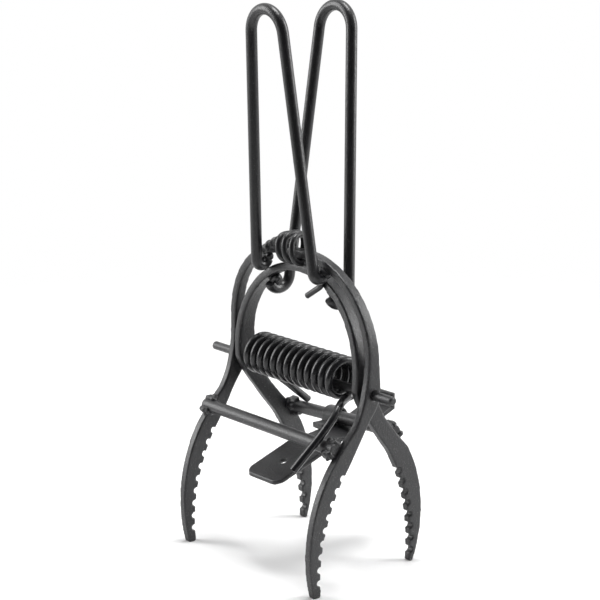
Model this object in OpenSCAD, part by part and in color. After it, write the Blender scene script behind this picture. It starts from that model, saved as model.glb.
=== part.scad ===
// Scissor mole trap: two bent-strip frames cross on one axle, a coil spring drives their claws
// together, and a wire handle on each frame opens them again. It is drawn with the claws open.
// The axle runs along X, the front claws are at -Y, and the claw tips stand on Z = 0.

/* [Frames] */
// Height of the axle above the claw tips
pivot_z = 67.2; // [60:0.2:75]
// Half the outside width of the outer frame
outer_half_w = 37.4; // [36:0.1:40]
// Half the outside width of the inner frame
inner_half_w = 31.4; // [30:0.1:33]
// Height of the centre of the outer arch
outer_arch_z = 75.5; // [74:0.1:78]
// Height of the centre of the inner arch
inner_arch_z = 74.5; // [73:0.1:75]
// Thickness of the bent strip
strip_t = 3; // [2.6:0.1:3.2]
// Width of the strip at the crown of the arch
crown_w = 7; // [6:0.1:8]
// How far each arch leans to its own claws' side at the crown
crown_lean = 1.8; // [1:0.1:2.5]

/* [Claws] */
// Furthest reach of a claw from the axle plane
claw_reach = 28.6; // [27:0.1:30]
// Radius of the claw's smooth outer edge
claw_outer_r = 58.5; // [56:0.5:61]
// Radius of the claw's toothed inner edge
claw_inner_r = 83.6; // [81:0.5:86]
// Width of the claw just above its tip
claw_w = 6.8; // [6:0.1:7.4]
// Number of notches in each toothed edge
notch_count = 9; // [6:1:10]
// Distance between notches along the edge
notch_pitch = 4.2; // [3.6:0.1:4.3]
// Radius of each notch
notch_r = 1.15; // [0.9:0.05:1.3]

/* [Crossbars and axle] */
// Diameter of the crossbars
bar_d = 5; // [4.4:0.1:5.2]
// Tilt of the rear crossbar, its left end lower, in degrees
rear_bar_tilt = 5.5; // [0:0.5:6]
// Diameter of the axle
axle_d = 3.2; // [3:0.1:3.4]
// Reach of the axle to the left of the middle
axle_left = 52; // [42:0.5:55]
// Reach of the axle to the right of the middle
axle_right = 48; // [42:0.5:55]
// Radial clearance of the inner frame on the axle
axle_gap = 0.08; // [0.05:0.01:0.1]

/* [Spring] */
// Diameter of the spring wire
spring_wire_d = 2.8; // [2.6:0.1:2.8]
// Outside diameter of the coil
coil_od = 15.6; // [15:0.1:16]
// Number of whole turns of the coil
coil_turns = 13; // [11:1:13]
// Length of the coil along the axle, between wire centres
coil_len = 43.6; // [43:0.2:44]

/* [Handles] */
// Diameter of the handle wire
handle_d = 4; // [3.6:0.1:4.2]
// Height of the wire centre at the top of the handles
handle_top_z = 195.4; // [180:0.2:200]
// Distance of a handle's top from the axle plane
handle_top_y = 15.6; // [15.4:0.1:16.2]
// Radius of a handle's top bend
handle_top_r = 8.65; // [8:0.05:9]
// Lean of each handle towards the axle plane, in degrees
handle_lean = 4.9; // [4.8:0.1:5]
// Spread of each handle leg, in degrees
handle_spread = 5; // [4.8:0.1:5.2]

/* [Trigger] */
// Width of the paddle at the front of the trigger
paddle_w = 19; // [16:0.5:20]
// Width of the tongue behind the paddle
tongue_w = 13.6; // [12:0.2:15]
// Thickness of the trigger plate
plate_t = 1.5; // [1.2:0.1:1.6]
// Distance of the trigger to the right of the middle
plate_x = 2.2; // [0:0.1:3]
// Diameter of the hole in the paddle
plate_hole_d = 2.6; // [2:0.1:3]
// Width of the strap over the rear crossbar
strap_w = 6; // [5:0.5:7]

/* [Crown wire] */
// Diameter of the wire wound on the outer crown
crown_wire_d = 2.1; // [1.8:0.1:2.2]
// Number of turns round the crown
crown_turns = 3; // [2:1:3]
// Distance between turns
crown_pitch = 3.7; // [3.5:0.1:4]

/* [Hidden] */
$fn = 64;
black = [0.16, 0.16, 0.17];
grey = [0.3, 0.3, 0.31];
weld_grey = [0.42, 0.42, 0.43];

// Side outlines are drawn as [reach towards the frame's own claws, height].
outer_edge_z = 12;
inner_edge_z = 3;
outer_edge_u = claw_reach - claw_outer_r;
inner_edge_u = claw_reach - claw_w - claw_inner_r;
tip_r = claw_w / 2 - 0.35;
tip_sunk = 0.3;
claw_top_z = 46;
arm_foot = [4.2, pivot_z - 4.2];
leg_out = [17.7, claw_top_z];
leg_in = [2.9, pivot_z - 13.2];
arm_corner = [-5, pivot_z - 1.2];
crown_z = 120;
wide = 120;

// The crossbars lie in shallow seats in the outer edges of the legs.
leg_dir = (leg_out - arm_foot) / norm(leg_out - arm_foot);
leg_angle = atan2(leg_dir[0], -leg_dir[1]);
bar_off = bar_d / 2 - 1.3;
function bar_at(run) = arm_foot + leg_dir * run + bar_off * [-leg_dir[1], leg_dir[0]];
front_bar = bar_at(16.3);
rear_bar = bar_at(21);
rear_bar_axis = [
    cos(rear_bar_tilt), -sin(rear_bar_tilt) * sin(leg_angle), sin(rear_bar_tilt) * cos(leg_angle)
];
bar_short = 0.3;

coil_r = (coil_od - spring_wire_d) / 2;
coil_z = pivot_z + coil_r - (spring_wire_d + axle_d) / 2 - 0.5;
curl_rings = 8;
loop_rings = 24;
wire_sides = 6;
leg_steps = 10;

front_hook_r = 2.5;
front_hook_z = 105.5;
front_hook_angle = 160;
rear_hook_r = 4.6;
rear_hook_z = 98.1;
rear_hook_angle = 148;

// The trigger's top face in side view: paddle front, first bend, second bend, and the end tab.
plate_front = [-20.9, 33.8];
plate_bend = [3, 42.3];
plate_rear_bend = [21.5, 44.9];
plate_end = [36, 50.9];
tab_h = 6;
plate_slope = atan2(plate_bend[1] - plate_front[1], plate_bend[0] - plate_front[0]);
hole_at = plate_front + [10.4, 10.4 * tan(plate_slope) - plate_t * 1.06 / 2];
strap_t = 1.2;
strap_x = -4.3;
strap_gap = 0.09;

// The whole trap is set over the middle of its outline: the axle's two ends, and the spring's
// front end and the trigger's rear end.
spring_front_y = -29.29;
module centred()
    translate([(axle_left - axle_right) / 2, -(spring_front_y + plate_end[0]) / 2, 0]) children();

// One frame seen along Y: a half ring on two straight arms.
module arch_band(half_w, arch_z) {
    difference() {
        union() {
            translate([0, arch_z]) circle(r = half_w, $fn = 180);
            translate([-half_w, 0]) square([2 * half_w, arch_z]);
        }
        translate([0, arch_z]) circle(r = half_w - strip_t, $fn = 180);
        translate([strip_t - half_w, -1]) square([2 * (half_w - strip_t), arch_z + 1]);
    }
}

// The claw lies between its two edge arcs and ends in a round tip, filed flat where it stands.
module claw_profile() {
    tip_u = claw_reach - claw_w / 2 - 0.35;
    intersection() {
        difference() {
            translate([outer_edge_u, outer_edge_z]) circle(r = claw_outer_r, $fn = 240);
            translate([inner_edge_u, inner_edge_z]) circle(r = claw_inner_r, $fn = 240);
        }
        union() {
            translate([0, tip_r - tip_sunk]) square([wide, claw_top_z - tip_r + tip_sunk]);
            translate([tip_u, tip_r - tip_sunk]) circle(r = tip_r);
        }
        square([wide, wide]);
    }
}

// The notches follow the inner edge arc, evenly spaced from the top of the claw down.
module claw_notches() {
    first = asin((claw_top_z - 4.2 - inner_edge_z) / claw_inner_r);
    step = notch_pitch / claw_inner_r * 180 / PI;
    for (i = [0 : notch_count - 1]) {
        a = first - i * step;
        translate([inner_edge_u + claw_inner_r * cos(a), inner_edge_z + claw_inner_r * sin(a)])
            circle(r = notch_r, $fn = 32);
    }
}

// The plain side outline, from the claw's tip up the leg and the arm to the leaning crown.
module side_outline() {
    claw_profile();
    polygon([
        [crown_lean - crown_w / 2, crown_z], [-4.4, pivot_z + 5], arm_corner, leg_in,
        [10, claw_top_z - 0.3], [14, claw_top_z - 3], leg_out, arm_foot,
        [4.4, pivot_z + 1], [crown_lean + crown_w / 2, crown_z]
    ]);
}

// Stands a side outline up along Y and Z, with its claws at -Y for side -1 and at +Y for side 1.
module across(side, x, length) {
    translate([x, 0, 0]) rotate([90, 0, 90])
        linear_extrude(length) mirror([side < 0 ? 1 : 0, 0]) children();
}

// The frame of a crossbar's centre: X runs along the bar and Z points up the leg.
module on_bar(side, bar, tilt) {
    translate([0, side * bar[0], bar[1]])
        rotate([side * leg_angle, 0, 0]) rotate([0, -tilt, 0]) children();
}

module rod_x(d, length) {
    translate([-length / 2, 0, 0]) rotate([0, 90, 0]) cylinder(d = d, h = length);
}

// A frame is its front view and its side view cut through each other.
module bent_frame(half_w, arch_z, side, bore_d, bar, tilt) {
    difference() {
        intersection() {
            translate([0, wide / 2, 0]) rotate([90, 0, 0])
                linear_extrude(wide) arch_band(half_w, arch_z);
            across(side, -wide / 2, wide) difference() {
                side_outline();
                claw_notches();
            }
        }
        translate([0, 0, pivot_z]) rod_x(bore_d, wide);
        on_bar(side, bar, tilt) rod_x(bar_d, wide);
    }
}

// A bead round one end of a crossbar, with a lump above and below it on the leg's edge.
module bar_weld(side, bar, tilt, half_w, end) {
    bead = 1.5;
    difference() {
        on_bar(side, bar, tilt) {
            translate([end * (half_w - strip_t + 0.6), 0, 0]) rotate([0, -90 * end, 0])
                cylinder(r1 = bar_d / 2 + bead, r2 = bar_d / 2, h = bead + 0.8);
            for (up = [-1, 1])
                translate([end * (half_w - strip_t / 2), side * (0.4 - bar_off), up * 2.7])
                    sphere(r = 1.9, $fn = 32);
        }
        on_bar(side, bar, tilt) rod_x(bar_d, wide);
        across(side, end * (half_w - strip_t / 2) - strip_t / 2, strip_t) side_outline();
    }
}

// The frame of a handle's top bend: Z runs up the leaning handle.
module on_handle(side) {
    rise = handle_top_r * cos(handle_lean);
    out = handle_top_y - handle_top_r * sin(handle_lean);
    translate([0, side * out, handle_top_z - rise]) rotate([-side * handle_lean, 0, 0]) children();
}

function handle_leg(hook_z) =
    ((handle_top_z - handle_top_r * cos(handle_lean) - hook_z) / cos(handle_lean)
        + handle_top_r * sin(handle_spread)) / cos(handle_spread);

// Half a hairpin: the top bend, one leg, and its hooked foot, which curls to the other frame.
module half_hairpin(side, hook_r, hook_z, hook_angle) {
    leg = handle_leg(hook_z);
    intersection() {
        translate([handle_top_r * cos(handle_spread), 0, handle_top_r * sin(handle_spread)])
            rotate([0, -handle_spread, 0]) {
                translate([0, 0, -leg]) cylinder(d = handle_d, h = leg);
                translate([-handle_top_r, 0, 0]) rotate([90, 0, 0])
                    rotate_extrude(angle = 90) translate([handle_top_r, 0]) circle(d = handle_d);
                translate([0, -side * hook_r, -leg]) rotate([-90, 0, side * 90])
                    rotate_extrude(angle = hook_angle) translate([hook_r, 0])
                        circle(d = handle_d);
            }
        translate([0, -wide / 2, -wide]) cube([wide, wide, 2 * wide]);
    }
}

module hairpin(side, hook_r, hook_z, hook_angle) {
    on_handle(side) {
        half_hairpin(side, hook_r, hook_z, hook_angle);
        mirror([1, 0, 0]) half_hairpin(side, hook_r, hook_z, hook_angle);
    }
}

module front_wire() hairpin(-1, front_hook_r, front_hook_z, front_hook_angle);
module rear_wire() hairpin(1, rear_hook_r, rear_hook_z, rear_hook_angle);

// The ring of an arch, as deep as the given half depth, for cutting what is seated against it.
module arch_ring(half_w, arch_z, half_depth) {
    translate([0, half_depth, arch_z]) rotate([90, 0, 0]) difference() {
        cylinder(r = half_w, h = 2 * half_depth, $fn = 180);
        translate([0, 0, -1]) cylinder(r = half_w - strip_t, h = 2 * half_depth + 2, $fn = 180);
    }
}

module front_handle_weld(end) {
    difference() {
        translate([end * 16, -2.9, 104.9]) sphere(r = 2.8, $fn = 32);
        arch_ring(outer_half_w, outer_arch_z, 8);
        front_wire();
    }
}

module rear_handle_weld(end) {
    difference() {
        translate([end * 16.3, 1.2, 97]) sphere(r = 2.4, $fn = 32);
        arch_ring(inner_half_w, inner_arch_z, 8);
        rear_wire();
    }
}

function unit(v) = v / norm(v);
function tangents(p) = [
    for (i = [0 : len(p) - 1]) unit(p[min(i + 1, len(p) - 1)] - p[max(i - 1, 0)])
];
function level(n, t) = unit(n - (n * t) * t);
function normals(t, first) = [
    for (i = 0, n = level(first, t[0]); i < len(t);
         i = i + 1, n = i < len(t) ? level(n, t[i]) : n) n
];
function bezier(a, b, c, d, t) =
    a * pow(1 - t, 3) + 3 * b * t * pow(1 - t, 2) + 3 * c * t * t * (1 - t) + d * pow(t, 3);
function leg_curve(a, b, c, d) = [for (i = [1 : leg_steps]) bezier(a, b, c, d, i / leg_steps)];
function reversed(p) = [for (i = [len(p) - 1 : -1 : 0]) p[i]];

// The least gap between stretches of a wire that lie at least half a turn apart.
function least_gap(p, d, apart) = min([
    for (i = [0 : len(p) - 1 - apart]) min([for (j = [i + apart : len(p) - 1]) norm(p[i] - p[j])])
]) - d;

// One unbroken tube along the points, with rings carried along without twist.
module tube(p, d, first) {
    t = tangents(p);
    n = normals(t, first);
    last = len(p) - 1;
    rings = [
        for (i = [0 : last]) for (j = [0 : wire_sides - 1])
            p[i] + d / 2 * (cos(360 * j / wire_sides) * n[i]
                + sin(360 * j / wire_sides) * cross(t[i], n[i]))
    ];
    function at(i, j) = i * wire_sides + j % wire_sides;
    polyhedron(rings, concat(
        [for (j = [1 : wire_sides - 2]) [at(0, 0), at(0, j), at(0, j + 1)]],
        [for (i = [0 : last - 1]) for (j = [0 : wire_sides - 1])
            [at(i, j), at(i + 1, j), at(i + 1, j + 1)]],
        [for (i = [0 : last - 1]) for (j = [0 : wire_sides - 1])
            [at(i, j), at(i + 1, j + 1), at(i, j + 1)]],
        [for (j = [1 : wire_sides - 2]) [at(last, 0), at(last, j + 1), at(last, j)]]
    ));
}

// The coil's first and last turns run out at the bottom: to the rear on the left, to the front
// on the right. Each leg is a smooth curve that ends past its crossbar.
coil_start = [-coil_len / 2, 0, coil_z - coil_r];
coil_end = [coil_len / 2, 0, coil_z - coil_r];
coil_points = [
    for (i = [0 : coil_turns * curl_rings])
        let (a = 360 * i / curl_rings)
            [coil_start[0] + coil_len * i / (coil_turns * curl_rings),
             -coil_r * sin(a), coil_z - coil_r * cos(a)]
];
left_leg = leg_curve(coil_start, [-23.5, 7, 64.2], [-23.5, 15, 56], [-24, 22.4, 48.8]);
right_leg = leg_curve(coil_end, [24.3, -9.5, 63.6], [35.5, -20, 52.5], [32, -28.3, 43.3]);
spring_points = concat(reversed(left_leg), coil_points, right_leg);

// Each turn follows the strip's cross-section: a rounded oblong, a little higher than the strip.
function squared(c) = sign(c) * pow(abs(c), 2 / 3);
turn_a = crown_w / 2 + 2;
turn_b = strip_t / 2 + 2.9;
turn_up = 1.2;
turn_x = -10.3;
function strip_mid(x) = outer_arch_z + sqrt(pow(outer_half_w - strip_t / 2, 2) - x * x);
crown_points = [
    for (i = [0 : crown_turns * loop_rings])
        let (a = 360 * i / loop_rings, x = turn_x + crown_pitch * i / loop_rings)
            [x, -crown_lean + turn_a * squared(sin(a)),
             strip_mid(x) + turn_up - turn_b * squared(cos(a))]
];
crown_end = crown_points[crown_turns * loop_rings];
crown_tail = concat(
    leg_curve(crown_end, crown_end + [0.4, 2.5, 0], [9, 1.4, 107.4], [15.6, 1.3, 103.9]),
    leg_curve([15.6, 1.3, 103.9], [20, 1.25, 101.7], [21.4, -5, 101], [16.6, -5.5, 99.7]),
    leg_curve([16.6, -5.5, 99.7], [14.5, -5.7, 99.1], [12, -5.9, 98.3], [9.9, -6, 97.6])
);

echo(spring_gap = least_gap(spring_points, spring_wire_d, curl_rings / 2));
echo(crown_gap = least_gap(concat(crown_points, crown_tail), crown_wire_d, loop_rings / 2));

// The trigger in side view, from its top face down by the given depth.
module plate_side(depth) {
    polygon([
        plate_front, plate_bend, plate_rear_bend, plate_end, plate_end - [0, depth],
        plate_rear_bend - [0, depth], plate_bend - [0, depth], plate_front - [0, depth]
    ]);
}

module plate_plan() {
    corner = 4;
    shoulder = plate_bend[0] - 2;
    for (end = [-1, 1])
        translate([end * (paddle_w / 2 - corner), plate_front[0] + corner]) circle(r = corner);
    translate([corner - paddle_w / 2, plate_front[0]]) square([paddle_w - 2 * corner, corner]);
    polygon([
        [-paddle_w / 2, plate_front[0] + corner], [paddle_w / 2, plate_front[0] + corner],
        [paddle_w / 2, shoulder], [tongue_w / 2, shoulder + 3],
        [tongue_w / 2, plate_end[0]], [-tongue_w / 2, plate_end[0]],
        [-tongue_w / 2, shoulder + 3], [-paddle_w / 2, shoulder]
    ]);
}

module outer_frame()
    color(black) centred() bent_frame(outer_half_w, outer_arch_z, -1, axle_d, front_bar, 0);

module inner_frame()
    color(black) centred() bent_frame(inner_half_w, inner_arch_z, 1, axle_d + 2 * axle_gap, rear_bar,
        rear_bar_tilt);

module front_crossbar()
    color(grey) centred() on_bar(-1, front_bar, 0) rod_x(bar_d, 2 * (outer_half_w - bar_short));

module rear_crossbar()
    color(grey) centred() on_bar(1, rear_bar, rear_bar_tilt) rod_x(bar_d, 2 * (inner_half_w - bar_short));

module front_bar_weld_left() color(weld_grey) centred() bar_weld(-1, front_bar, 0, outer_half_w, -1);
module front_bar_weld_right() color(weld_grey) centred() bar_weld(-1, front_bar, 0, outer_half_w, 1);
module rear_bar_weld_left()
    color(weld_grey) centred() bar_weld(1, rear_bar, rear_bar_tilt, inner_half_w, -1);
module rear_bar_weld_right()
    color(weld_grey) centred() bar_weld(1, rear_bar, rear_bar_tilt, inner_half_w, 1);

module front_handle() color(black) centred() front_wire();
module rear_handle() color(black) centred() rear_wire();
module front_handle_weld_left() color(weld_grey) centred() front_handle_weld(-1);
module front_handle_weld_right() color(weld_grey) centred() front_handle_weld(1);
module rear_handle_weld_left() color(weld_grey) centred() rear_handle_weld(-1);
module rear_handle_weld_right() color(weld_grey) centred() rear_handle_weld(1);

module pivot_axle() {
    chamfer = 0.4;
    color(grey) centred() translate([-axle_left, 0, pivot_z]) rotate([0, 90, 0]) {
        cylinder(d1 = axle_d - 2 * chamfer, d2 = axle_d, h = chamfer);
        translate([0, 0, chamfer]) cylinder(d = axle_d, h = axle_left + axle_right - 2 * chamfer);
        translate([0, 0, axle_left + axle_right - chamfer])
            cylinder(d1 = axle_d, d2 = axle_d - 2 * chamfer, h = chamfer);
    }
}

module torsion_spring() color(grey) centred() tube(spring_points, spring_wire_d, [0, 0, 1]);

module crown_wire() color(grey) centred() tube(concat(crown_points, crown_tail), crown_wire_d, [1, 0, 0]);

module trigger_plate() {
    color(black) centred() difference() {
        union() {
            intersection() {
                translate([0, 0, -wide / 4]) linear_extrude(wide)
                    translate([plate_x, 0]) plate_plan();
                across(1, -wide / 2, wide) plate_side(plate_t * 1.06);
            }
            translate([plate_x - tongue_w / 2, plate_end[0] - plate_t, plate_end[1] - plate_t])
                cube([tongue_w, plate_t, tab_h]);
        }
        translate([plate_x, hole_at[0], hole_at[1]]) rotate([plate_slope, 0, 0])
            cylinder(d = plate_hole_d, h = 6, center = true, $fn = 32);
    }
}

module trigger_strap() {
    inner_r = bar_d / 2 + strap_gap;
    foot = 8;
    color(grey) centred() difference() {
        translate([0, rear_bar[0], rear_bar[1]])
            rotate([0, -asin(rear_bar_axis[2]), atan2(rear_bar_axis[1], rear_bar_axis[0])])
            translate([strap_x - strap_w / 2, 0, 0]) rotate([90, 0, 90])
                linear_extrude(strap_w) difference() {
                    union() {
                        circle(r = inner_r + strap_t);
                        translate([-inner_r - strap_t, -4]) square([2 * (inner_r + strap_t), 4]);
                        translate([-foot, -3.6]) square([2 * foot, strap_t + 1]);
                    }
                    circle(r = inner_r);
                    translate([-inner_r, -5]) square([2 * inner_r, 5]);
                }
        across(1, -wide / 2, wide) plate_side(20);
    }
}

outer_frame();
inner_frame();
front_crossbar();
rear_crossbar();
front_bar_weld_left();
front_bar_weld_right();
rear_bar_weld_left();
rear_bar_weld_right();
front_handle();
rear_handle();
front_handle_weld_left();
front_handle_weld_right();
rear_handle_weld_left();
rear_handle_weld_right();
pivot_axle();
torsion_spring();
crown_wire();
trigger_plate();
trigger_strap();
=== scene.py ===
# %% [markdown]
# A scissor mole trap, painted satin black. Two bent steel strips cross on one axle, a coil
# spring pulls their toothed claws together, and each strip carries a long wire handle.
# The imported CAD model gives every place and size. This notebook gives the trap its soft paint
# edges, a smooth spring, rough weld beads and a paint that catches the light as the real one does.

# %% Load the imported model
import bpy
import math
from collections import namedtuple
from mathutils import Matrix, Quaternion, Vector


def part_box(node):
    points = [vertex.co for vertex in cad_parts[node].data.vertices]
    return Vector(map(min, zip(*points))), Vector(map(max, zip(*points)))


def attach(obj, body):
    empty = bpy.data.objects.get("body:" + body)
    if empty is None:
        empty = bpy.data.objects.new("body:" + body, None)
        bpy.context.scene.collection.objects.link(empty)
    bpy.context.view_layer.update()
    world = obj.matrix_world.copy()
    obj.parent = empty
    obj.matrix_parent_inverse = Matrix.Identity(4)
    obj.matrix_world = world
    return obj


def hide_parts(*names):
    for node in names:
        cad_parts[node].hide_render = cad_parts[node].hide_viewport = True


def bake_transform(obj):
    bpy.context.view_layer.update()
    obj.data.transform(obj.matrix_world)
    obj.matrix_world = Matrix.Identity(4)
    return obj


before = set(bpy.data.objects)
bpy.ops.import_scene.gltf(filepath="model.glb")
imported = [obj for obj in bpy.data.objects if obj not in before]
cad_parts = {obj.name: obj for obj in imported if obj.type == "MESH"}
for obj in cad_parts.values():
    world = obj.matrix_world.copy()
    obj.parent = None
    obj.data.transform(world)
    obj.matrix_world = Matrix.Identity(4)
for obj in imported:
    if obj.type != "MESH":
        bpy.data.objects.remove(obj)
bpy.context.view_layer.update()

MM = 0.001
print("CAD nodes:", sorted(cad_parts))

# %% [markdown]
# The CAD model sets the trap over the middle of its outline. The spring and the crown wire
# are wound here from the same real sizes as the CAD model, so they need that middle: it is read
# back from the axle's box and from the outer frame's box, not typed in twice.

# %% Find the axle
axle_low, axle_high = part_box("pivot_axle")
outer_low, outer_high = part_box("outer_frame")
inner_low, inner_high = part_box("inner_frame")
MIDDLE_X = (outer_low.x + outer_high.x) / 2
AXLE_Y = (axle_low.y + axle_high.y) / 2
AXLE_Z = (axle_low.z + axle_high.z) / 2
print("axle at", round(AXLE_Y / MM, 2), round(AXLE_Z / MM, 2), "mm")


def trap_point(x, y, z):
    """A point given in millimetres from the middle of the axle's line on the ground."""
    return Vector((MIDDLE_X + x * MM, AXLE_Y + y * MM, z * MM))


# %% [markdown]
# The photograph looks down a little on the trap's front right corner, from far away with a long
# lens. The camera's place, turn and lens were worked out once from the trap's own straight and
# equal parts, so here they are plain numbers in millimetres and degrees.

# %% Camera
CAMERA_PLACE = (487.9, -396.8, 237.8)
CAMERA_AZIMUTH = math.radians(50.96)
CAMERA_ELEVATION = math.radians(12.91)
CAMERA_ROLL = math.radians(-0.19)
CAMERA_LENS = 110.45

bpy.ops.object.camera_add(location=trap_point(*CAMERA_PLACE))
camera = bpy.context.object
camera.name = "photo_camera"
towards_camera = Vector((
    math.sin(CAMERA_AZIMUTH) * math.cos(CAMERA_ELEVATION),
    -math.cos(CAMERA_AZIMUTH) * math.cos(CAMERA_ELEVATION),
    math.sin(CAMERA_ELEVATION),
))
camera.rotation_mode = "QUATERNION"
facing = (-towards_camera).to_track_quat("-Z", "Y")
camera.rotation_quaternion = facing @ Quaternion((0, 0, 1), CAMERA_ROLL)
camera.data.lens = CAMERA_LENS
camera.data.sensor_width = 36
camera.data.clip_end = 10
bpy.context.scene.camera = camera

# %% [markdown]
# Shader maths reads best as maths. This small class wraps a node's socket, so that an expression
# such as 0.3 + 0.1 * noise adds the Math nodes by itself. Any other node comes from one method.


# %% A socket that does sums
class Value:
    def __init__(self, tree, socket):
        self.tree = tree
        self.socket = socket

    def sum(self, operation, first, second):
        return node(self.tree, "ShaderNodeMath", {"operation": operation}, {0: first, 1: second})

    def __add__(self, other):
        return self.sum("ADD", self, other)

    def __radd__(self, other):
        return self.sum("ADD", other, self)

    def __sub__(self, other):
        return self.sum("SUBTRACT", self, other)

    def __rsub__(self, other):
        return self.sum("SUBTRACT", other, self)

    def __mul__(self, other):
        return self.sum("MULTIPLY", self, other)

    def __rmul__(self, other):
        return self.sum("MULTIPLY", other, self)


def node(tree, kind, settings, inputs, output=0):
    """Adds a node, sets it up, joins its inputs, and gives back one of its outputs."""
    made = tree.nodes.new(kind)
    for name, value in settings.items():
        setattr(made, name, value)
    for name, value in inputs.items():
        if isinstance(value, Value):
            tree.links.new(value.socket, made.inputs[name])
        else:
            made.inputs[name].default_value = value
    return Value(tree, made.outputs[output])


def new_material(name):
    made = bpy.data.materials.new(name)
    made.use_nodes = True
    shader = made.node_tree.nodes["Principled BSDF"]
    return made, made.node_tree, shader


# %% [markdown]
# The trap is brush or dip painted in satin black. From close by, such paint isn't flat: it has a
# fine orange peel, patches that are a little duller, and specks of dust. The noise reads Object
# coordinates, in metres, so a scale of 1500 gives bumps a little over half a millimetre across.


# %% Black paint
def black_paint(name, tone, roughness, peel, peel_scale, speckle=0.0):
    made, tree, shader = new_material(name)
    place = node(tree, "ShaderNodeTexCoord", {}, {}, "Object")
    fine = node(tree, "ShaderNodeTexNoise", {}, {"Vector": place, "Scale": peel_scale,
                                                "Detail": 3.0, "Roughness": 0.6})
    patch = node(tree, "ShaderNodeTexNoise", {}, {"Vector": place, "Scale": 90.0,
                                                 "Detail": 4.0, "Roughness": 0.55})
    dust = node(tree, "ShaderNodeTexNoise", {}, {"Vector": place, "Scale": 2600.0,
                                                "Detail": 1.0, "Roughness": 0.5})
    specks = node(tree, "ShaderNodeMapRange", {}, {"Value": dust, "From Min": 0.66,
                                                  "From Max": 0.74, "To Min": 0.0,
                                                  "To Max": speckle})
    dark = (*tone, 1)
    worn = (*(2.6 * part for part in tone), 1)
    dusty = (0.2, 0.2, 0.2, 1)
    mottled = node(tree, "ShaderNodeMix", {"data_type": "RGBA"},
                   {0: patch * 0.5, 6: dark, 7: worn}, 2)
    colour = node(tree, "ShaderNodeMix", {"data_type": "RGBA"},
                  {0: specks, 6: mottled, 7: dusty}, 2)
    height = fine + 0.35 * patch
    bump = node(tree, "ShaderNodeBump", {}, {"Height": height, "Strength": peel,
                                            "Distance": 0.00025}, "Normal")
    gloss = roughness - 0.09 + 0.18 * patch
    tree.links.new(colour.socket, shader.inputs["Base Color"])
    tree.links.new(gloss.socket, shader.inputs["Roughness"])
    tree.links.new(bump.socket, shader.inputs["Normal"])
    shader.inputs["Specular IOR Level"].default_value = 0.5
    return made


frame_paint = black_paint("frame_paint", (0.010, 0.010, 0.011), 0.36, 0.6, 1500.0, 0.5)
wire_paint = black_paint("wire_paint", (0.008, 0.008, 0.009), 0.33, 0.35, 1200.0, 0.3)
spring_paint = black_paint("spring_paint", (0.006, 0.006, 0.007), 0.26, 0.2, 1100.0)
weld_paint = black_paint("weld_paint", (0.008, 0.008, 0.009), 0.34, 0.8, 1900.0, 0.5)

# %% [markdown]
# Paint rounds every sharp corner of cut steel. The CAD solids have the right shape but knife
# edges, so each rigid piece is a copy of its solid whose skin is rebuilt in cells of a third of a
# millimetre and then relaxed. That rounds edges and corners by the same small amount all
# over, also round the teeth, where a bevel would cross itself.


# %% Soft paint edges
def select_only(piece):
    bpy.ops.object.select_all(action="DESELECT")
    piece.select_set(True)
    bpy.context.view_layer.objects.active = piece


def copy_of_solid(node_name, piece_name):
    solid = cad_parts[node_name]
    mesh = solid.data.copy()
    mesh.transform(solid.matrix_world)
    piece = bpy.data.objects.new(piece_name, mesh)
    bpy.context.collection.objects.link(piece)
    select_only(piece)
    bpy.ops.object.mode_set(mode="EDIT")
    bpy.ops.mesh.select_all(action="SELECT")
    bpy.ops.mesh.remove_doubles(threshold=1e-6)
    bpy.ops.object.mode_set(mode="OBJECT")
    return piece


def relax_skin(piece, cell, rounds):
    skin = piece.modifiers.new("skin", "REMESH")
    skin.mode = "VOXEL"
    skin.voxel_size = cell
    bpy.ops.object.modifier_apply(modifier="skin")
    calm = piece.modifiers.new("calm", "SMOOTH")
    calm.factor = 0.5
    calm.iterations = rounds
    bpy.ops.object.modifier_apply(modifier="calm")
    bpy.ops.object.shade_smooth()


def finish_piece(piece, body, slot_name, material, *nodes):
    piece.data.materials.clear()
    piece.data.materials.append(material)
    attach(piece, body)
    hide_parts(*nodes)
    print(piece.name, len(piece.data.polygons), "faces")


def painted(node_name, body, material, cell, slim=0.0):
    """A soft-edged copy of a solid, its skin drawn in a little where something swings past."""
    piece = copy_of_solid(node_name, node_name + "_painted")
    relax_skin(piece, cell, 4)
    if slim:
        draw_in = piece.modifiers.new("draw_in", "DISPLACE")
        draw_in.mid_level = 0
        draw_in.strength = -slim
        bpy.ops.object.modifier_apply(modifier="draw_in")
    finish_piece(piece, body, "black_paint", material, node_name)
    return piece


# %% [markdown]
# Each frame is one steel strip, bent to an arch and then set on edge into legs and claws. Two
# flat outlines hold its whole shape: the arch as seen along Y, and the leaning, narrowing strip
# with its claw as seen along X. Each outline is pulled out to a slab, and what both slabs share
# is the bent strip. Modelling it point by point would take hundreds of moves for the same form.

# %% Round stretches and smooth lines
def arc(centre, radius, first, last, step=3):
    """Points on a circle, from one angle in degrees to another, ends included."""
    count = max(2, round(abs(last - first) / step))
    angles = [math.radians(first + (last - first) * i / count) for i in range(count + 1)]
    return [(centre[0] + radius * math.cos(a), centre[1] + radius * math.sin(a)) for a in angles]


def smooth_line(knots, steps=6):
    """A curve that goes through every knot and bends evenly between them."""
    points = []
    for i in range(len(knots) - 1):
        a, b, c, d = (Vector(knots[min(max(k, 0), len(knots) - 1)]) for k in range(i - 1, i + 3))
        for k in range(steps):
            t = k / steps
            points.append(tuple(0.5 * (2 * b + (c - a) * t + (2 * a - 5 * b + 4 * c - d) * t * t
                                       + (3 * b - a - 3 * c + d) * t ** 3)))
    return points + [tuple(knots[-1])]


# %% The arch seen along Y
STRIP = 3.0


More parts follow.
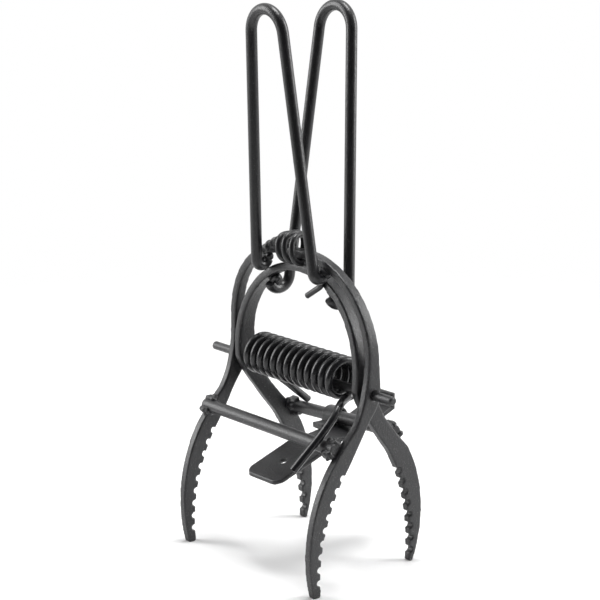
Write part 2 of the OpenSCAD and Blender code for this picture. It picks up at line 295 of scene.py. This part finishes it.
def arch_line(half, arch_z, bend, toe_in, inset):
    """Up the right arm, over the level crown between two bends, and down the left arm."""
    lean = math.asin(toe_in / arch_z)
    side = half - bend
    shoulder = (side + (bend - inset) * math.cos(lean), arch_z - (bend - inset) * math.sin(lean))
    foot = shoulder[0] - shoulder[1] * math.tan(lean)
    right = [(foot, 0.0)] + arc((side, arch_z), bend - inset, -math.degrees(lean), 90)
    return right + [(-x, z) for x, z in right[::-1]]


def arch_outline(frame_shape):
    return arch_line(*frame_shape, 0) + arch_line(*frame_shape, STRIP)[::-1]


# half width, height where the arch starts, radius of its bends and toe-in of its arms
OUTER_ARCH = (38.8, 80.2, 32.5, 1.4)
INNER_ARCH = (34.3, 73.2, 33.9, 3.1)
print("outer crown at", OUTER_ARCH[1] + OUTER_ARCH[2], "mm")

# %% [markdown]
# A claw lies between two big arcs, which meet in a narrow round tip. Round notches follow the
# inner arc: nine on the front claws, and eight on the rear ones, which are broader at the top.
# The points come from each notch's own circle, so the teeth stay exact however many there are.

# %% The claw seen along X
Claw = namedtuple("Claw", "reach radius bulge_z width toothed_radius toothed_z notches top_notch_z")
OUTER_CLAW = Claw(27.6, 54.0, 14.5, 4.7, 65.5, 6.0, 9, 40.3)
INNER_CLAW = Claw(28.2, 50.0, 17.5, 4.7, 74.0, 4.0, 8, 35.6)
CLAW_TOP = 44.0
TIP_Z = 0.8
NOTCH_RADIUS = 1.1
NOTCH_SINK = 0.4
NOTCH_PITCH = 4.6


def angle_at(centre, radius, z):
    return math.degrees(math.asin((z - centre[1]) / radius))


def toothed_edge(claw):
    """Up the inner edge of the claw, round the far side of each notch on the way."""
    centre = (claw.reach - claw.width - claw.toothed_radius, claw.toothed_z)
    radius = claw.toothed_radius
    top = angle_at(centre, radius, claw.top_notch_z)
    pitch = math.degrees(NOTCH_PITCH / radius)
    mouth = math.degrees(NOTCH_RADIUS / radius)
    points = []
    here = angle_at(centre, radius, TIP_Z)
    for i in range(claw.notches):
        middle = top - (claw.notches - 1 - i) * pitch
        points += arc(centre, radius, here, middle - mouth, 1)
        notch = arc(centre, radius + NOTCH_SINK, middle, middle)[0]
        points += arc(notch, NOTCH_RADIUS, middle - 88, middle + 88, 22)
        here = middle + mouth
    return points + arc(centre, radius, here, angle_at(centre, radius, CLAW_TOP), 1)


def claw_outline(claw):
    """Down the smooth edge, round the tip, flat where it stands, and up the teeth."""
    centre = (claw.reach - claw.radius, claw.bulge_z)
    down = arc(centre, claw.radius, angle_at(centre, claw.radius, CLAW_TOP),
               angle_at(centre, claw.radius, TIP_Z), 2)
    up = toothed_edge(claw)
    tip_radius = (down[-1][0] - up[0][0]) / 2
    tip_centre = ((down[-1][0] + up[0][0]) / 2, TIP_Z)
    heel = math.degrees(math.asin(TIP_Z / tip_radius))
    tip = arc(tip_centre, tip_radius, 0, -heel, 6) + arc(tip_centre, tip_radius, heel - 180, -180, 6)
    return down[:-1] + tip + up[1:]


# %% The leaning strip seen along X
# Each strip's edges from the crown down to the claw, as reach towards its own claws and height:
# both strips narrow at the waist under the axle and swing out into the leg.
OUTER_OWN = [(4.9, 114), (2.7, 81), (4.3, 66.5), (7.6, 57.8), (12.9, 51.6)]
OUTER_AWAY = [(1.2, 114), (-2.3, 78), (-2.2, 65), (3.2, 55.9)]
INNER_OWN = [(2.4, 109), (2.8, 79), (5.2, 65.5), (8.6, 58.2), (12.9, 52.4), (17.6, 47.2)]
INNER_AWAY = [(-2.2, 109), (-4.3, 74), (-3.4, 65.2), (3.4, 54.8)]


def side_outline(own, away, claw_shape):
    claw = claw_outline(claw_shape)
    down = smooth_line(own + [claw[0]])
    up = smooth_line(away + [claw[-1]])[::-1]
    return down[:-1] + claw + up[1:]


print("claw outline has", len(claw_outline(OUTER_CLAW)), "points")

# %% Slabs and what they share
def flat_slab(name, outline, spread, reach):
    """Pulls a closed outline out both ways along an axis, which 'spread' places it across."""
    mesh = bpy.data.meshes.new(name)
    mesh.from_pydata([spread(a, b, -reach) for a, b in outline], [], [range(len(outline))])
    slab = bpy.data.objects.new(name, mesh)
    bpy.context.collection.objects.link(slab)
    select_only(slab)
    bpy.ops.object.mode_set(mode="EDIT")
    bpy.ops.mesh.select_all(action="SELECT")
    pull = spread(0, 0, reach) - spread(0, 0, -reach)
    bpy.ops.mesh.extrude_region_move(TRANSFORM_OT_translate={"value": pull})
    bpy.ops.mesh.select_all(action="SELECT")
    bpy.ops.mesh.quads_convert_to_tris()
    bpy.ops.mesh.normals_make_consistent(inside=False)
    bpy.ops.object.mode_set(mode="OBJECT")
    return slab


def cut_with(piece, tool, operation):
    cut = piece.modifiers.new("cut", "BOOLEAN")
    cut.operation = operation
    cut.solver = "EXACT"
    cut.object = tool
    select_only(piece)
    bpy.ops.object.modifier_apply(modifier="cut")
    bpy.data.objects.remove(tool)


def bent_strip(name, arch, own, away, claw, side, bore):
    strip = flat_slab(name, arch_outline(arch), lambda x, z, y: trap_point(x, y, z), 60)
    profile = flat_slab(name + "_side", side_outline(own, away, claw),
                        lambda u, z, x: trap_point(x, side * u, z), 60)
    cut_with(strip, profile, "INTERSECT")
    bpy.ops.mesh.primitive_cylinder_add(vertices=48, radius=bore * MM, depth=0.16, rotation=(0, math.pi / 2, 0),
                                        location=trap_point(0, 0, AXLE_Z / MM))
    cut_with(strip, bpy.context.object, "DIFFERENCE")
    return strip


def soften_above(piece, height, rounds):
    """The bent arches are rounder at their edges than the cut claws."""
    upper = piece.vertex_groups.new(name="upper")
    for corner in piece.data.vertices:
        rise = (corner.co.z - height) / (12 * MM)
        if rise > 0:
            upper.add([corner.index], min(rise, 1), "REPLACE")
    calm = piece.modifiers.new("calm", "SMOOTH")
    calm.factor = 0.5
    calm.iterations = rounds
    calm.vertex_group = "upper"
    select_only(piece)
    bpy.ops.object.modifier_apply(modifier="calm")


# %% Outer and inner frame
outer_strip = bent_strip("outer_frame_strip", OUTER_ARCH, OUTER_OWN, OUTER_AWAY,
                         OUTER_CLAW, -1, 1.6)
relax_skin(outer_strip, 0.34 * MM, 4)
soften_above(outer_strip, 46 * MM, 12)
finish_piece(outer_strip, "front_half", "black_paint", frame_paint, "outer_frame")

inner_strip = bent_strip("inner_frame_strip", INNER_ARCH, INNER_OWN, INNER_AWAY,
                         INNER_CLAW, 1, 1.72)
relax_skin(inner_strip, 0.34 * MM, 4)
soften_above(inner_strip, 46 * MM, 12)
finish_piece(inner_strip, "rear_half", "black_paint", frame_paint, "inner_frame")

# %% [markdown]
# The handles' legs run straight down to hooked feet. The arches above are a little higher at
# the hooks than in the CAD model, so each copied handle's foot is slid up along its leg by that
# much. The leg's long faces have corners only at their ends, so they just grow shorter.

# %% Handles
HANDLE_SPREAD = math.radians(5)
HANDLE_LEAN = math.radians(4.9)
FRONT_LIFT = 1.2
REAR_LIFT = 0.8
FOOT_TOP = 120


def handle(node_name, body, side, lift):
    wire_piece = copy_of_solid(node_name, node_name + "_painted")
    for end in (-1, 1):
        slide = Vector((-end * math.tan(HANDLE_SPREAD), side * math.tan(HANDLE_LEAN), 1)) * lift * MM
        for corner in wire_piece.data.vertices:
            if corner.co.z < FOOT_TOP * MM and (corner.co.x - MIDDLE_X) * end > 0:
                corner.co += slide
    relax_skin(wire_piece, 0.32 * MM, 4)
    finish_piece(wire_piece, body, "black_paint", wire_paint, node_name)


handle("front_handle", "front_half", -1, FRONT_LIFT)
handle("rear_handle", "rear_half", 1, REAR_LIFT)

# %% Bars, axle and trigger
painted("rear_crossbar", "rear_half", frame_paint, 0.3 * MM, slim=0.15 * MM)
painted("pivot_axle", "front_half", frame_paint, 0.25 * MM)
painted("trigger_plate", "trigger", frame_paint, 0.28 * MM)
painted("trigger_strap", "trigger", frame_paint, 0.22 * MM)

FRONT_BAR = (15.7, 50.6)
FRONT_BAR_RADIUS = 2.3
FRONT_BAR_HALF = 36.7
bpy.ops.object.select_all(action="DESELECT")
bpy.ops.mesh.primitive_cylinder_add(vertices=64, radius=FRONT_BAR_RADIUS * MM,
                                    depth=2 * FRONT_BAR_HALF * MM, rotation=(0, math.pi / 2, 0),
                                    location=trap_point(0, -FRONT_BAR[0], FRONT_BAR[1]))
front_bar = bpy.context.object
front_bar.name = "front_crossbar_painted"
bpy.ops.object.transform_apply(location=True, rotation=True, scale=True)
relax_skin(front_bar, 0.3 * MM, 4)
finish_piece(front_bar, "front_half", "black_paint", frame_paint, "front_crossbar")

# %% [markdown]
# A hand-laid weld is a row of overlapping lumps with some spatter beside it, under thick paint.
# Each bead starts as ball primitives along its seam. One rebuilt skin melts them together, and a
# cloud pattern pushes it in and out, as weld metal freezes unevenly.

# %% Weld beads
lumps = bpy.data.textures.new("weld_lumps", "CLOUDS")
lumps.noise_scale = 1.5 * MM


def weld_bead(name, body, balls, *nodes):
    """Each ball is its centre in millimetres and its radius."""
    parts = []
    for centre, radius in balls:
        bpy.ops.mesh.primitive_ico_sphere_add(subdivisions=3, radius=radius * MM,
                                              location=trap_point(*centre))
        parts.append(bpy.context.object)
    bpy.ops.object.select_all(action="DESELECT")
    for part in parts:
        part.select_set(True)
    bpy.context.view_layer.objects.active = parts[0]
    bpy.ops.object.join()
    bpy.ops.object.transform_apply(location=True, rotation=True, scale=True)
    bead = bpy.context.object
    bead.name = name
    relax_skin(bead, 0.22 * MM, 3)
    push = bead.modifiers.new("push", "DISPLACE")
    push.texture = lumps
    push.texture_coords = "LOCAL"
    push.strength = 0.7 * MM
    push.mid_level = 0.5
    bpy.ops.object.modifier_apply(modifier="push")
    relax_skin(bead, 0.22 * MM, 2)
    bead.data.materials.clear()
    bead.data.materials.append(weld_paint)
    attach(bead, body)
    if nodes:
        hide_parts(*nodes)
    print(name, len(bead.data.polygons), "faces")


# %% Beads at the ends of the crossbars
LEG_ANGLE = math.radians(37.7)


def bar_beads(side, middle, tilt, reach, radius, end):
    """Balls round the bar where it meets the leg's edge, with spatter along bar and leg."""
    up = Vector((0, -side * math.sin(LEG_ANGLE), math.cos(LEG_ANGLE)))
    out = Vector((0, side * math.cos(LEG_ANGLE), math.sin(LEG_ANGLE)))
    along = Vector((math.cos(tilt), 0, 0)) + math.sin(tilt) * up
    centre = Vector((0, side * middle[0], middle[1]))
    balls = []
    for inward, size in ((0.9, 1.15), (2.2, 1.4), (3.7, 1.15)):
        for turn in (-115, -80, -45, 45, 80, 115):
            a = math.radians(turn)
            spot = centre + end * (reach - inward) * along
            spot += (radius + 0.15) * (math.sin(a) * up - math.cos(a) * out)
            balls.append((spot, size + 0.18 * math.sin(turn + 5 * inward)))
    for run, rise, size in ((5.0, 1.7, 0.8), (1.6, 3.7, 1.1), (2.0, -3.5, 0.8)):
        spot = centre + end * (reach - run) * along + rise * up - 0.5 * out
        balls.append((spot, size))
    return balls


REAR_BAR = (18.2, 47.3)
REAR_TILT = math.radians(5.5)
for end, hand in ((-1, "left"), (1, "right")):
    weld_bead("front_bar_bead_" + hand, "front_half",
              bar_beads(-1, FRONT_BAR, 0, FRONT_BAR_HALF, FRONT_BAR_RADIUS, end),
              "front_bar_weld_" + hand)
    weld_bead("rear_bar_bead_" + hand, "rear_half",
              bar_beads(1, REAR_BAR, REAR_TILT, 31.5, 2.5, end),
              "rear_bar_weld_" + hand)

# %% Beads at the hooks and on the crown
for end, hand in ((-1, "left"), (1, "right")):
    weld_bead("front_handle_bead_" + hand, "front_half",
              [((16.2 * end, -3.4, 106.6), 2.1), ((14.6 * end, -3.2, 107.6), 1.6),
               ((17.8 * end, -3.3, 106.2), 1.5)], "front_handle_weld_" + hand)
    weld_bead("rear_handle_bead_" + hand, "rear_half",
              [((16.3 * end, 1.2, 98.3), 2.2), ((14.9 * end, 0.6, 99.2), 1.6),
               ((17.6 * end, 0.8, 97.6), 1.5)], "rear_handle_weld_" + hand)
weld_bead("crown_bead", "front_half",
          [((-16.6, -3.2, 109.9), 1.9), ((-13.8, -3.1, 111.2), 2.3), ((-11.0, -3.0, 112.4), 2.5),
           ((-8.4, -3.0, 113.4), 2.6), ((-5.9, -3.2, 113.4), 2.4), ((-3.6, -3.2, 112.6), 2.0)])

# %% [markdown]
# The spring is one wire: a rear leg, thirteen turns and a front leg. A curve through the
# same points as the CAD solid, but many more of them, carries a round section, and becomes a
# mesh once its shape is settled. The legs are smooth cubic curves through listed points.

# %% Spring wire
SPRING_WIRE = 2.8
COIL_LENGTH = 49.5
COIL_TURNS = 13
COIL_RADIUS = (15.6 - SPRING_WIRE) / 2
COIL_HEIGHT = AXLE_Z / MM + COIL_RADIUS - (SPRING_WIRE + 3.2) / 2 - 0.5
TURN_STEPS = 40
LEG_STEPS = 30


def cubic(a, b, c, d, steps):
    points = []
    for i in range(1, steps + 1):
        t = i / steps
        points.append(Vector(a) * (1 - t) ** 3 + Vector(b) * 3 * t * (1 - t) ** 2
                      + Vector(c) * 3 * t * t * (1 - t) + Vector(d) * t ** 3)
    return points


def coil():
    points = []
    for i in range(COIL_TURNS * TURN_STEPS + 1):
        turn = i / TURN_STEPS
        angle = 2 * math.pi * turn
        points.append(Vector((COIL_LENGTH * (turn / COIL_TURNS - 0.5),
                              -COIL_RADIUS * math.sin(angle),
                              COIL_HEIGHT - COIL_RADIUS * math.cos(angle))))
    return points


def wire(name, points, diameter):
    """A round wire along points in millimetres, made a mesh with closed ends."""
    curve = bpy.data.curves.new(name, "CURVE")
    curve.dimensions = "3D"
    curve.bevel_depth = diameter / 2 * MM
    curve.bevel_resolution = 4
    curve.use_fill_caps = True
    spline = curve.splines.new("POLY")
    spline.points.add(len(points) - 1)
    for dot, point in zip(spline.points, points):
        dot.co = (*trap_point(*point), 1)
    piece = bpy.data.objects.new(name, curve)
    bpy.context.collection.objects.link(piece)
    select_only(piece)
    bpy.ops.object.convert(target="MESH")
    bpy.ops.object.mode_set(mode="EDIT")
    bpy.ops.mesh.select_all(action="SELECT")
    bpy.ops.mesh.remove_doubles(threshold=1e-6)
    bpy.ops.mesh.normals_make_consistent(inside=False)
    bpy.ops.object.mode_set(mode="OBJECT")
    bpy.ops.object.shade_smooth_by_angle(angle=math.radians(40))
    return bpy.context.object


turns = coil()
rear_leg = smooth_line([tuple(turns[0]), (-24.85, 6, 61.2), (-25.0, 11.5, 57.3),
                        (-25.2, 17, 52.8), (-25.4, 23.1, 47.8)])
front_leg = smooth_line([tuple(turns[-1]), (27.2, -4.6, 63.5), (30.6, -9.0, 63.3),
                         (32.0, -13.2, 60.0), (31.2, -17.2, 55.2), (29.8, -22.3, 49.5),
                         (28.35, -27.4, 43.8)])
spring = wire("torsion_spring_wire", rear_leg[:0:-1] + turns + front_leg[1:], SPRING_WIRE)
spring.data.materials.append(spring_paint)
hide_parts("torsion_spring")
trap_point(-COIL_LENGTH / 2, 0, COIL_HEIGHT)
trap_point(COIL_LENGTH / 2, 0, COIL_HEIGHT)
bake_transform(spring)
print("spring", len(spring.data.polygons), "faces")

# %% [markdown]
# A thin wire is wound three times round the outer crown, and its tail runs down behind the
# handle's right hook. Each turn follows the strip's section, a rounded oblong: a circle's sine
# and cosine, raised to the power two thirds, give that shape.

# %% Crown wire
CROWN_WIRE = 2.1
CROWN_PITCH = 4.1
CROWN_TURNS = 3
CROWN_START_X = -5.5
CROWN_Y = -4.2
CROWN_HALF_DEPTH = 5.2
CROWN_HALF_HEIGHT = 5.0
CROWN_UP = 2.05
CROWN_TIGHT = 0.8
CROWN_LOOSE_AFTER = 1.5
STRIP_MIDDLE_Z = OUTER_ARCH[1] + OUTER_ARCH[2] - STRIP / 2


def squared(c):
    return math.copysign(abs(c) ** 0.8, c)


def crown_winding():
    """Whole turns under and over the strip: the first is tight, the others stand off it."""
    points = []
    for i in range(CROWN_TURNS * TURN_STEPS + 1):
        turn = i / TURN_STEPS
        angle = 2 * math.pi * turn
        loose = CROWN_TIGHT + (1 - CROWN_TIGHT) * min(turn / CROWN_LOOSE_AFTER, 1)
        points.append(Vector((CROWN_START_X + CROWN_PITCH * turn,
                              CROWN_Y + loose * CROWN_HALF_DEPTH * squared(math.sin(angle)),
                              STRIP_MIDDLE_Z + loose * (CROWN_UP - CROWN_HALF_HEIGHT
                                                        * squared(math.cos(angle))))))
    return points


winding = crown_winding()
tail = cubic(winding[-1], winding[-1] + Vector((0.6, -1.6, 0)), (10.6, -3.8, 108),
             (12.4, -3.6, 107.2), LEG_STEPS)
tail += cubic((12.4, -3.6, 107.2), (12.6, -3.5, 104.2), (16.0, -3.3, 102.4),
              (13.2, -3.6, 100.7), LEG_STEPS)
tail += cubic((13.2, -3.6, 100.7), (11.4, -3.8, 99.5), (9.5, -4.0, 98.3), (7.7, -4.2, 97.1),
              LEG_STEPS)
crown = wire("crown_wire_wound", winding + tail, CROWN_WIRE)
finish_piece(crown, "front_half", "spring_paint", wire_paint, "crown_wire")

# %% [markdown]
# The photograph was made on seamless white under large soft lights. A pale floor catches a soft
# shadow. The world is white to the camera and to reflections, but lights the trap plainly.

# %% Floor, lights and world
bpy.ops.mesh.primitive_plane_add(size=2.4, location=(0, 0, 0))
floor = bpy.context.object
floor.name = "floor"


def pale_floor():
    """White paper that catches the shadow near the trap and fades out further away."""
    made, tree, shader = new_material("pale_floor")
    shader.inputs["Base Color"].default_value = (0.94, 0.94, 0.94, 1)
    shader.inputs["Roughness"].default_value = 0.9
    shader.inputs["Specular IOR Level"].default_value = 0.1
    place = node(tree, "ShaderNodeTexCoord", {}, {}, "Object")
    far = node(tree, "ShaderNodeVectorMath", {"operation": "LENGTH"}, {0: place}, "Value")
    fade = node(tree, "ShaderNodeMapRange", {"interpolation_type": "SMOOTHSTEP"},
                {"Value": far, "From Min": 0.16, "From Max": 0.5})
    clear = node(tree, "ShaderNodeBsdfTransparent", {}, {}, "BSDF")
    paper = Value(tree, shader.outputs["BSDF"])
    mixed = node(tree, "ShaderNodeMixShader", {}, {0: fade, 1: paper, 2: clear}, "Shader")
    tree.links.new(mixed.socket, tree.nodes["Material Output"].inputs["Surface"])
    return made


floor.data.materials.append(pale_floor())


def soft_light(name, place, aim, size, power):
    bpy.ops.object.light_add(type="AREA", location=place)
    lamp = bpy.context.object
    lamp.name = name
    lamp.data.shape = "RECTANGLE"
    lamp.data.size = size[0]
    lamp.data.size_y = size[1]
    lamp.data.energy = power
    lamp.rotation_mode = "QUATERNION"
    lamp.rotation_quaternion = (Vector(aim) - Vector(place)).to_track_quat("-Z", "Y")


TRAP_MIDDLE = (0, 0, 0.1)
soft_light("left_softbox", (-0.9, -0.75, 0.55), TRAP_MIDDLE, (0.5, 1.0), 12)
soft_light("right_softbox", (0.65, 0.95, 0.55), TRAP_MIDDLE, (0.5, 1.0), 14)
soft_light("top_softbox", (0.0, 0.1, 1.1), TRAP_MIDDLE, (0.4, 0.4), 9)


def studio_world():
    world = bpy.data.worlds.new("studio")
    bpy.context.scene.world = world
    world.use_nodes = True
    tree = world.node_tree
    background = tree.nodes["Background"]
    seen = node(tree, "ShaderNodeLightPath", {}, {}, "Is Camera Ray")
    glossy = node(tree, "ShaderNodeLightPath", {}, {}, "Is Glossy Ray")
    background.inputs["Color"].default_value = (1, 1, 1, 1)
    direction = node(tree, "ShaderNodeTexCoord", {}, {}, "Generated")
    nearness = node(tree, "ShaderNodeVectorMath", {"operation": "DOT_PRODUCT"},
                    {0: direction, 1: tuple(towards_camera)}, "Value")
    white = node(tree, "ShaderNodeMapRange", {"interpolation_type": "SMOOTHSTEP"},
                 {"Value": nearness, "From Min": 0.8, "From Max": 0.0})
    strength = 0.22 + 0.78 * seen + glossy * (white - 0.16)
    tree.links.new(strength.socket, background.inputs["Strength"])


studio_world()
bpy.context.scene.view_settings.view_transform = "Standard"
